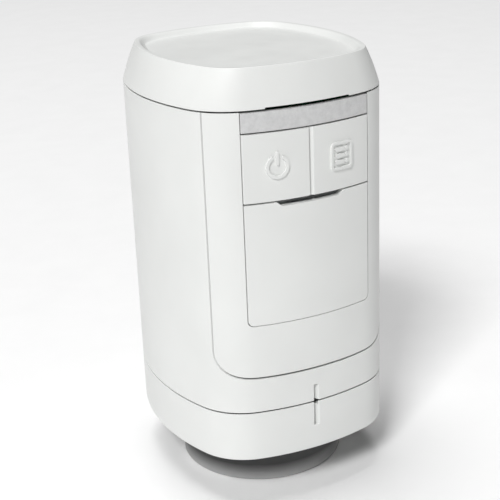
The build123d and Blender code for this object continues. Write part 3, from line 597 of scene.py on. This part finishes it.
def housing_piece():
    """The housing's wall with its rebates, the ledge behind the bib's seam and the four screw bosses."""
    piece = walled("housing_wall", HOUSING_BOTTOM, HOUSING_TOP)
    cut(piece, bib_cutter(SEAM, SEAM_DROP))
    core = [outline(REBATE_INSET, z) for z in (0.0, 120 * MM)]
    rebate = loft("rebate", core, False, (0, 1))
    cut(rebate, bib_cutter(SEAM + REBATE_DEPTH, SEAM_DROP), "INTERSECT")
    cut(piece, rebate)
    cut(piece, mark_cutter())
    ledge = band_shell("housing_ledge", WALL - OVERLAP, WALL + LEDGE_DEPTH, LEDGE_LOW, LEDGE_HIGH)
    cut(ledge, bib_cutter(1.8 * MM), "INTERSECT")
    cut(ledge, bib_cutter(SEAM, SEAM_DROP))
    bosses = []
    for x in (-BOSS_X, BOSS_X):
        for y in (-BOSS_Y, BOSS_Y):
            bosses.append(tube("housing_boss", BOSS_RADIUS, BOSS_BORE, BOSS_LOW, BOSS_HIGH, x, y))
    return joined("housing_shell", [soften(p, 0.14 * MM) for p in (piece, ledge)] + bosses)


def bib_piece():
    """The front panel's wall round the window, with the rails beside the window and the sills under it."""
    piece = walled("bib_wall", BIB_BOTTOM, HOUSING_TOP)
    cut(piece, bib_cutter(0), "INTERSECT")
    cut(piece, window_cutter())
    inner, outer = WINDOW_HALF, WINDOW_HALF + 1.2 * MM
    floor, top = DOOR_BOTTOM - 1.6 * MM, HOUSING_TOP - 1.5 * MM
    depth, reach = WALL - OVERLAP, 1.3 * MM
    rails = [
        window_slab("bib_rail_left", -outer, -inner, floor, top, reach, inset=depth),
        window_slab("bib_rail_right", inner, outer, floor, top, reach, inset=depth),
    ]
    for left, right in ((-15.0, -8.7), (-3.3, 3.3), (8.7, 15.0)):
        sill = window_slab("bib_sill", left * MM, right * MM, floor, DOOR_BOTTOM, reach, inset=depth)
        rails.append(sill)
    return joined("bib_shell", [soften(piece, 0.2 * MM)] + [soften(r, 0.15 * MM, 2) for r in rails])


def cap_outline(z, further=0.0, drop=0.0):
    """The cap's outline at a level, or further inside it and lower."""
    rise = z - CAP_SHOULDER + CAP_ROUND * math.sin(CAP_LEAN)
    inset = CAP_ROUND * math.cos(CAP_LEAN) - math.sqrt(CAP_ROUND**2 - rise**2)
    return outline(inset + further, z - drop, CAP_STRETCH * inset)


def cap_rings():
    """The cap's rings from its lower edge up over the crest into the dish, and the rings beneath."""
    rise, steps, dish_steps = CAP_TOP - CAP_SHOULDER, 14, 8
    above = [outline(0, CAP_BOTTOM), outline(0, CAP_SHOULDER)]
    above += [cap_outline(CAP_SHOULDER + rise * i / steps) for i in range(1, steps + 1)]
    for i in range(dish_steps + 1):
        share = i / dish_steps
        drop = DISH_DEPTH * (1 - math.cos(math.pi * share)) / 2
        above.append(cap_outline(CAP_TOP, DISH_START + DISH_REACH * share, drop))
    ceiling = CAP_TOP - CAP_THICKNESS
    under = [(11 * MM, ceiling), (6.5 * MM, ceiling), (WALL, CAP_SHOULDER + 2 * MM), (WALL, CAP_BOTTOM)]
    return above, [outline(inset, z) for inset, z in under]


def cap_solid():
    """The cap's skin, closed by the dish's flat and by the ceiling under it."""
    above, below = cap_rings()
    rings = above + below
    flat, count = len(above) - 1, len(RAYS)
    verts = [v for ring in rings for v in ring]
    faces = []
    links = [(i, i + 1) for i in range(len(rings) - 1) if i != flat] + [(len(rings) - 1, 0)]
    for a, b in links:
        for i in range(count):
            j = (i + 1) % count
            faces.append((a * count + i, a * count + j, b * count + j, b * count + i))
    for level in (flat, flat + 1):
        faces.append(tuple(level * count + i for i in range(count)))
    return new_object("cap_shell", verts, faces)


def cap_piece():
    """The cap: a short skirt, leaning sides, a crisp crest and a shallow dish, with a skirt inside."""
    piece = cap_solid()
    half, low, top = SLOT_HALF, 90 * MM, CAP_BOTTOM + SLOT_HEIGHT
    cut(piece, front_cutter([(-half, low), (half, low), (half, top), (-half, top)]))
    outer, inner = WALL + 0.15 * MM, WALL + 1.35 * MM
    skirt = band_shell("cap_skirt", outer, inner, HOUSING_TOP - 3.0 * MM, 96.0 * MM)
    start, stop, floor, roof = BIB_EDGE_Y + 3 * MM, 40 * MM, 80 * MM, 110 * MM
    rear = [(start, floor), (stop, floor), (stop, roof), (start, roof)]
    cut(skirt, extruded("rear_space", rear, -CLEAR_SIDE, CLEAR_SIDE, along_x), "INTERSECT")
    return joined("cap_piece", [soften(piece, 0.2 * MM, angle=24), soften(skirt, 0.15 * MM, 2)])


def lock_ring_piece():
    """The ring's wall with a rounded foot, its web, the keepers on it and the spokes under it."""
    top, low, toe, steps = RING_HIGH.z, RING_LOW.z, 0.5 * MM, 4
    section = [(0, top), (0, low + toe)]
    for i in range(1, steps + 1):
        turn = math.pi / 2 * i / steps
        section.append((toe * (1 - math.cos(turn)), low + toe * (1 - math.sin(turn))))
    section += [(WALL, low), (WALL, WEB_LOW)]
    rings = [outline(inset, z) for inset, z in section]
    ways = [(c + w * r).normalized() for c, w, r in RAYS]
    for z in (WEB_LOW, WEB_HIGH):
        rings.append([Vector((*(way * WEB_BORE), z)) for way in ways])
    step = top - REBATE_DEPTH
    for inset, z in ((WALL, WEB_HIGH), (WALL, step), (REBATE_INSET, step), (REBATE_INSET, top)):
        rings.append(outline(inset, z))
    piece = loft("lock_ring_wall", rings)
    cut(piece, mark_cutter())
    bite = 0.2 * MM
    inner = [keeper(45 + 120 * k, 55, 18.5 * MM, 20.6 * MM, WEB_HIGH - bite, 20.0 * MM) for k in range(3)]
    for k in range(8):
        turn = math.radians(22.5 + 45 * k)
        inner.append(spoke(turn, 20.8 * MM, 1.2 * MM, low + 1.2 * MM, WEB_LOW + bite))
    softened = [soften(p, 0.15 * MM, 2) for p in inner]
    return joined("lock_ring_shell", [soften(piece, 0.14 * MM, angle=40)] + softened)


def slab_stations(left, right, corner, notch, chamfer):
    """The X stations of a slab's columns: an even step, and every place where its edge turns."""
    step, closest = 0.35 * MM, 0.04 * MM
    count = max(2, round((right - left) / step))
    marks = {left + (right - left) * i / count for i in range(count + 1)}
    if chamfer:
        marks |= {left + chamfer}
    if notch:
        marks |= {side * reach for side in (-1, 1) for reach in notch[:2]}
    if corner:
        for i in range(1, 7):
            reach = corner * (1 - math.cos(math.pi / 2 * i / 6))
            marks |= {left + reach, right - reach}
    stations = []
    for x in sorted(marks):
        if not stations or x - stations[-1] > closest:
            stations.append(x)
    return stations


def window_slab(name, left, right, low, high, thick=SKIN, corner=0.0, notch=None, inset=0.0, chamfer=0.0):
    """A skin in the bib's window, curved like the front.

    It may have round lower corners, a notch in its upper edge and a chamfered left edge.
    """
    verts, faces = [], []
    stations = slab_stations(left, right, corner, notch, chamfer)
    for x in stations:
        floor, roof = low, high
        side = min(x - left, right - x)
        if corner and side < corner:
            floor = low + corner - math.sqrt(max(0.0, corner**2 - (corner - side) ** 2))
        if notch:
            wide, narrow, depth = notch
            roof = high - depth * min(1.0, max(0.0, (wide - abs(x)) / (wide - narrow)))
        cut_back = max(0.0, chamfer - (x - left))
        for d in (inset + cut_back, inset + thick):
            verts += [(x, front_y(x, d), floor), (x, front_y(x, d), roof)]
    last = (len(stations) - 1) * 4
    for a in range(0, last, 4):
        b = a + 4
        faces += [(a, b, b + 1, a + 1), (a + 2, a + 3, b + 3, b + 2)]
        faces += [(a, a + 2, b + 2, b), (a + 1, b + 1, b + 3, a + 3)]
    faces += [(0, 1, 3, 2), (last, last + 2, last + 3, last + 1)]
    return new_object(name, verts, faces)


def relief(name, loops, x, z):
    """Raised strokes on the front face, each a plane polygon about the icon's centre."""
    verts, faces = [], []
    for loop in loops:
        base = len(verts)
        count = len(loop)
        for lift in (-ICON_ROOT, ICON_RISE):
            for u, v in loop:
                verts.append((x + u, front_y(x + u, -lift), z + v))
        faces.append(tuple(base + i for i in range(count)))
        faces.append(tuple(base + count + i for i in range(count)))
        for i in range(count):
            j = (i + 1) % count
            faces.append((base + i, base + j, base + count + j, base + count + i))
    obj = new_object(name, verts, faces)
    return soften(obj, 0.06 * MM, 2, 50)


def band(radius, stroke, start, stop, steps=40):
    """A ring's stretch as a polygon."""
    inner = radius - stroke
    return arc_points(0, 0, radius, start, stop, steps) + arc_points(0, 0, inner, stop, start, steps)


def capsule(length, stroke, u, v, tall=False):
    """A straight stroke with round ends, lying or standing."""
    radius = stroke / 2
    reach = length / 2 - radius
    points = arc_points(reach, 0, radius, -90, 90, 6) + arc_points(-reach, 0, radius, 90, 270, 6)
    return [(u + (-q if tall else p), v + (p if tall else q)) for p, q in points]


def rounded_frame(width, height, corner, stroke):
    """A rounded rectangle's border, as one polygon with a hair-fine slit at its foot."""
    def loop(w, h, r, clockwise):
        corners = ((w - r, r - h, 270), (w - r, h - r, 0), (r - w, h - r, 90), (r - w, r - h, 180))
        points = []
        for cu, cv, start in corners:
            points += arc_points(cu, cv, r, start, start + 90, 5)
        slit = 0.004 * MM
        points = [(slit, -h)] + points + [(-slit, -h)]
        return points[::-1] if clockwise else points

    outer = loop(width / 2, height / 2, corner, False)
    inner = loop(width / 2 - stroke, height / 2 - stroke, max(corner - stroke, 0.15 * MM), True)
    return outer + inner


def joined(name, objects):
    """Joins several meshes with their modifiers applied into one object."""
    depsgraph = bpy.context.evaluated_depsgraph_get()
    build = bmesh.new()
    for obj in objects:
        mesh = bpy.data.meshes.new_from_object(obj.evaluated_get(depsgraph))
        build.from_mesh(mesh)
        bpy.data.meshes.remove(mesh)
        bpy.data.objects.remove(obj)
    mesh = bpy.data.meshes.new(name)
    build.to_mesh(mesh)
    build.free()
    for face in mesh.polygons:
        face.use_smooth = True
    obj = bpy.data.objects.new(name, mesh)
    bpy.context.scene.collection.objects.link(obj)
    return obj


POWER_RADIUS, POWER_STROKE = 2.65 * MM, 0.65 * MM
MENU_WIDTH, MENU_HEIGHT, MENU_STROKE = 5.9 * MM, 6.4 * MM, 0.65 * MM


def power_strokes():
    """A broken ring and an upright bar."""
    gap = math.degrees(math.asin(1.2 * MM / POWER_RADIUS))
    return [
        band(POWER_RADIUS, POWER_STROKE, 90 + gap, 450 - gap),
        capsule(3.0 * MM, POWER_STROKE, 0, 1.9 * MM, True),
    ]


def menu_strokes():
    """A rounded frame with three rows, each a bar and a dot."""
    strokes = [rounded_frame(MENU_WIDTH, MENU_HEIGHT, 1.0 * MM, MENU_STROKE)]
    for row in range(3):
        v = 0.05 * MM + (row - 1) * 1.45 * MM
        strokes.append(capsule(2.5 * MM, 0.95 * MM, -0.55 * MM, v))
        strokes.append(arc_points(1.4 * MM, v, 0.45 * MM, 0, 340, 17))
    return strokes


def button_piece(name, low, high, strokes, icon_x, chamfer=0.0):
    """A button: its skin, a stiffening rim and a post behind, and the raised icon."""
    left, right, floor, roof = low.x, high.x, low.z, high.z
    skin = window_slab(name + "_slab", left, right, floor, roof, chamfer=chamfer)
    depth, reach = SKIN - OVERLAP, 0.8 * MM
    a, b, c, d = left + 1.4 * MM, right - 1.4 * MM, floor + 1.2 * MM, roof - 1.2 * MM
    rib = 1.0 * MM
    lying = [(a, b, c, c + rib), (a, b, d - rib, d)]
    standing = [(a, a + rib, c, d), (b - rib, b, c, d)]
    ribs = []
    for x0, x1, z0, z1 in lying + standing:
        ribs.append(soften(window_slab(name + "_rib", x0, x1, z0, z1, reach, inset=depth), 0.12 * MM, 2))
    post = stud(name + "_post", 1.5, (left + right) / 2 / MM, 82.0, -27.6, -25.9)
    icon = relief(name + "_icon", strokes, icon_x, ICON_Z)
    return joined(name, [soften(skin, 0.18 * MM), soften(post, 0.15 * MM, 2), icon] + ribs)


def power_button_piece():
    return button_piece("power_button_skin", POWER_LOW, POWER_HIGH, power_strokes(), POWER_X)


def menu_button_piece():
    return button_piece("menu_button_skin", MENU_LOW, MENU_HIGH, menu_strokes(), MENU_X, MENU_CHAMFER)


def door_piece():
    """The battery door: its notched skin, two hinge tabs, two studs for the contact and a snap hook."""
    high = BUTTON_BOTTOM - SHELF
    skin = window_slab(
        "door_skin",
        GAP - WINDOW_HALF,
        WINDOW_HALF - GAP,
        DOOR_BOTTOM + SHELF,
        high,
        corner=WINDOW_CORNER - SHELF,
        notch=(8.4 * MM, 7.2 * MM, 1.0 * MM),
    )
    parts = [soften(skin, 0.22 * MM, angle=40)]
    floor, roof = DOOR_BOTTOM / MM, BUTTON_BOTTOM / MM
    for x in (-6.0, 6.0):
        tab = plate("door_tab", x - 2.0, x + 2.0, -27.4, -25.5, floor + 0.3, floor + 2.5)
        tongue = plate("door_tongue", x - 2.0, x + 2.0, -26.2, -25.5, floor - 1.2, floor + 2.4)
        parts += [soften(tab, 0.2 * MM), soften(tongue, 0.2 * MM)]
    for x in (-4.0, 4.0):
        parts.append(soften(stud("door_stud", 1.0, x, 62.4, -27.4, -26.0), 0.15 * MM))
    parts.append(soften(plate("door_hook", -3.0, 3.0, -27.4, -24.4, roof - 3.2, roof - 2.0), 0.3 * MM))
    return joined("door_piece", parts)


def lens_piece():
    """The light strip and the block behind it that takes the light from the diodes."""
    half = WINDOW_HALF - GAP
    strip = window_slab("diffuser_strip", -half, half, LENS_LOW.z, LENS_HIGH.z, 1.4 * MM)
    low, high = LENS_LOW.z + 0.8 * MM, LENS_HIGH.z - 0.6 * MM
    block = window_slab("diffuser_block", -12.5 * MM, 12.5 * MM, low, high, 1.7 * MM, inset=1.3 * MM)
    return joined("diffuser", [soften(strip, 0.12 * MM, 2), soften(block, 0.2 * MM, 2)])


THREAD_MINOR, THREAD_MAJOR, THREAD_PITCH, THREAD_TOP = 14.188 * MM, 15.0 * MM, 1.5 * MM, 9.2 * MM


def nut_profile():
    """The nut's section outside and above its thread, as (radius, z) from the mouth upwards."""
    top, radius, toe, edge = NUT_HIGH.z, NUT_HIGH.x, 0.6 * MM, 0.4 * MM
    groove, groove_top, neck = 14.5 * MM, 11.4 * MM, 13.0 * MM
    points = []
    for degrees in range(0, 91, 15):
        turn = math.radians(degrees)
        points.append((radius - toe * (1 - math.sin(turn)), toe * (1 - math.cos(turn))))
    points += [(radius, 9 * MM), (radius, top - edge), (radius - edge, top), (neck, top)]
    return points + [(neck, groove_top), (groove, groove_top), (groove, THREAD_TOP)]


def thread_radius(turn, z, fade):
    """The thread's radius at a share of a turn and a height. It opens into a chamfer at the mouth."""
    phase = (z / THREAD_PITCH - turn) % 1.0
    tooth = min(1.0, max(0.0, (abs(phase - 0.5) * 2 - 0.12) / 0.76))
    mouth = THREAD_MINOR + 0.9 * MM - z
    return max(THREAD_MINOR + (THREAD_MAJOR - THREAD_MINOR) * tooth * fade, mouth)


def nut_piece():
    """The union nut, lathed, with its internal thread cut as a true helix."""
    turns, rows, fade_rows = 240, 84, 6
    ways = [(math.cos(2 * math.pi * i / turns), math.sin(2 * math.pi * i / turns)) for i in range(turns)]
    rings = [[Vector((r * cx, r * sx, z)) for cx, sx in ways] for r, z in nut_profile()]
    for k in range(rows + 1):
        z = THREAD_TOP * (1 - k / rows)
        fade = min(1.0, k / fade_rows)
        radii = [thread_radius(i / turns, z, fade) for i in range(turns)]
        rings.append([Vector((r * cx, r * sx, z)) for r, (cx, sx) in zip(radii, ways)])
    nut = loft("union_nut_threaded", rings)
    for face in nut.data.polygons:
        face.use_smooth = True
    normals = nut.modifiers.new("normals", "WEIGHTED_NORMAL")
    normals.keep_sharp = True
    nut.data.set_sharp_from_angle(angle=math.radians(35))
    return nut


# ---------------------------------------------------------------- studio and camera
def aim(obj, target):
    obj.rotation_euler = (Vector(target) - obj.location).to_track_quat("-Z", "Y").to_euler()


def softbox(name, toward, distance, size, level):
    """A square light. toward points from the object to it, and level is the brightness it gives white."""
    light = bpy.data.lights.new(name, "AREA")
    light.shape = "SQUARE"
    light.size = size
    light.energy = level * math.pi**2 * distance**2
    obj = bpy.data.objects.new(name, light)
    centre = Vector((0, 0, 0.05))
    obj.location = centre + Vector(toward).normalized() * distance
    bpy.context.scene.collection.objects.link(obj)
    aim(obj, centre)


def studio():
    """A plain pale floor, a dim world and two soft lights."""
    floor = extruded("floor", [(-3, -3), (3, -3), (3, 3), (-3, 3)], -0.01, 0.0, upright)
    r = Recipe("pale floor")
    speck = r.noise(60, 3.0)
    r.colour(r.mix(r.ramp(speck, 0.0, 1.0, 0.3, 0.7), (0.955, 0.955, 0.955, 1), (0.975, 0.975, 0.975, 1)))
    r.set(Roughness=0.9)
    floor.data.materials.append(r.material)
    world = bpy.data.worlds.new("studio")
    world.use_nodes = True
    world.node_tree.nodes["Background"].inputs["Color"].default_value = (1, 1, 1, 1)
    world.node_tree.nodes["Background"].inputs["Strength"].default_value = 0.11
    bpy.context.scene.world = world
    softbox("key", (-0.48, -0.45, 0.62), 3.6, 0.9, 0.69)
    softbox("top", (-0.05, 0.15, 1.0), 3.6, 1.8, 0.50)
    bpy.context.scene.view_settings.view_transform = "Standard"


CAMERA_AZIMUTH, CAMERA_ELEVATION, CAMERA_ROLL = -26.99, 20.59, -2.24
CAMERA_DISTANCE, CAMERA_TARGET_Z = 301.7 * MM, 50 * MM
FOCAL_SHARE = 2.4564  # focal length over the picture's width
SHIFT = (-0.01028, 0.0199)  # lens shift across and up, over the picture's width


def camera():
    """The camera looks at the object's axis from its azimuth and elevation, rolled and shifted a little."""
    data = bpy.data.cameras.new("camera")
    data.sensor_width = 36
    data.lens = 36 * FOCAL_SHARE
    data.shift_x, data.shift_y = SHIFT
    data.clip_start = 0.01
    obj = bpy.data.objects.new("camera", data)
    az, el, roll = (math.radians(a) for a in (CAMERA_AZIMUTH, CAMERA_ELEVATION, CAMERA_ROLL))
    back = Vector((math.sin(az) * math.cos(el), -math.cos(az) * math.cos(el), math.sin(el)))
    right = (-back).cross(Vector((0, 0, 1))).normalized()
    up = right.cross(-back)
    turned_right = right * math.cos(roll) + up * math.sin(roll)
    turned_up = up * math.cos(roll) - right * math.sin(roll)
    matrix = obj.matrix_world.to_3x3()
    for row in range(3):
        matrix[row] = (turned_right[row], turned_up[row], back[row])
    obj.matrix_world = matrix.to_4x4()
    obj.location = Vector((0, 0, CAMERA_TARGET_Z)) + back * CAMERA_DISTANCE
    bpy.context.scene.collection.objects.link(obj)
    bpy.context.scene.camera = obj


# ---------------------------------------------------------------- put together
dress_nodes()
for make, node, body, slot in (
    (housing_piece, "main_housing", "housing", "white_shell"),
    (bib_piece, "front_bib", "housing", "white_shell"),
    (cap_piece, "top_cap", "housing", "white_cap"),
    (lock_ring_piece, "lock_ring", "lock_ring", "white_shell"),
    (door_piece, "battery_door", "battery_door", "white_door"),
    (lens_piece, "light_guide", "housing", "light_diffuser"),
    (nut_piece, "union_nut", "union_nut", "nut_metal"),
    (power_button_piece, "power_button", "power_button", "white_buttons"),
    (menu_button_piece, "menu_button", "menu_button", "white_buttons"),
):
    stands_for(make(), node, body, slot)
studio()
camera()
